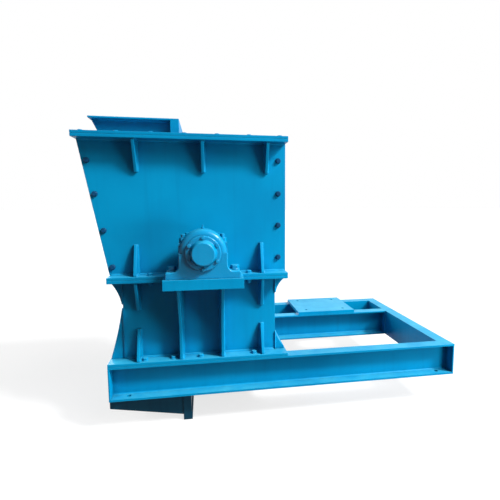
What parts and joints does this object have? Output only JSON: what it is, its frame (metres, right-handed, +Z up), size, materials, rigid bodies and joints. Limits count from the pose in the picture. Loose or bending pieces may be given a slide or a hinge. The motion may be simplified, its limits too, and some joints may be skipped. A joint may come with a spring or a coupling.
{
  "type": "hammer crusher",
  "caption": "Hammer crusher with a flanged two-part housing, feed inlet, rotor in plummer blocks, grate and discharge chute, on a channel frame with a motor plate.",
  "frame": {"origin": "on the underside of the front beam's bottom flange, under the housing's middle", "axes": "+X along the frame from the crusher to the motor end, +Y from the front beam to the rear beam along the rotor axis, +Z up"},
  "size_m": [1.797, 1.181, 1.408],
  "materials": {
    "blue_enamel": "gloss",
    "slate_enamel": "satin",
    "bright_steel": "machined",
    "mill_steel": "hot rolled",
    "manganese_casting": "cast"
  },
  "bodies": {
    "housing": {"base_flange": "blue_enamel", "bracket_ribs": "blue_enamel", "chute_edge_angles": "slate_enamel", "discharge_chute": "slate_enamel", "discharge_slope": "mill_steel", "end_gussets": "blue_enamel", "frame_end_plates": "blue_enamel", "front_beam": "blue_enamel", "front_bearing_base": "blue_enamel", "front_bearing_bracket": "blue_enamel", "front_bearing_cap": "blue_enamel", "front_bearing_cover": "blue_enamel", "grate_bars": "manganese_casting", "grate_cheeks": "mill_steel", "inlet_end_beam": "blue_enamel", "inlet_rim": "blue_enamel", "inlet_walls": "blue_enamel", "inner_cross_beam": "blue_enamel", "left_cross_beam": "blue_enamel", "lower_end_walls": "blue_enamel", "lower_flange": "blue_enamel", "lower_front_wall": "blue_enamel", "lower_gussets": "blue_enamel", "lower_rear_wall": "blue_enamel", "middle_beam": "blue_enamel", "motor_plate": "blue_enamel", "rear_beam": "blue_enamel", "rear_bearing_base": "blue_enamel", "rear_bearing_bracket": "blue_enamel", "rear_bearing_cap": "blue_enamel", "rear_bearing_cover": "blue_enamel", "right_cross_beam": "blue_enamel", "shaft_seals": "blue_enamel", "top_flange": "blue_enamel", "top_plate": "blue_enamel", "upper_flange": "blue_enamel", "upper_front_wall": "blue_enamel", "upper_gussets": "blue_enamel", "upper_left_wall": "blue_enamel", "upper_rear_wall": "blue_enamel", "upper_right_wall": "blue_enamel"},
    "rotor": {"rotor_shaft": "bright_steel", "rotor_discs": "mill_steel", "hammer_pins": "mill_steel", "hammers": "manganese_casting"}
  },
  "joints": [
    {"name": "rotor_spin", "type": "hinge", "parent": "housing", "child": "rotor", "pos_m": [0.014, 0.34, 0.673], "axis": [0, 1, 0], "continuous": true}
  ]
}
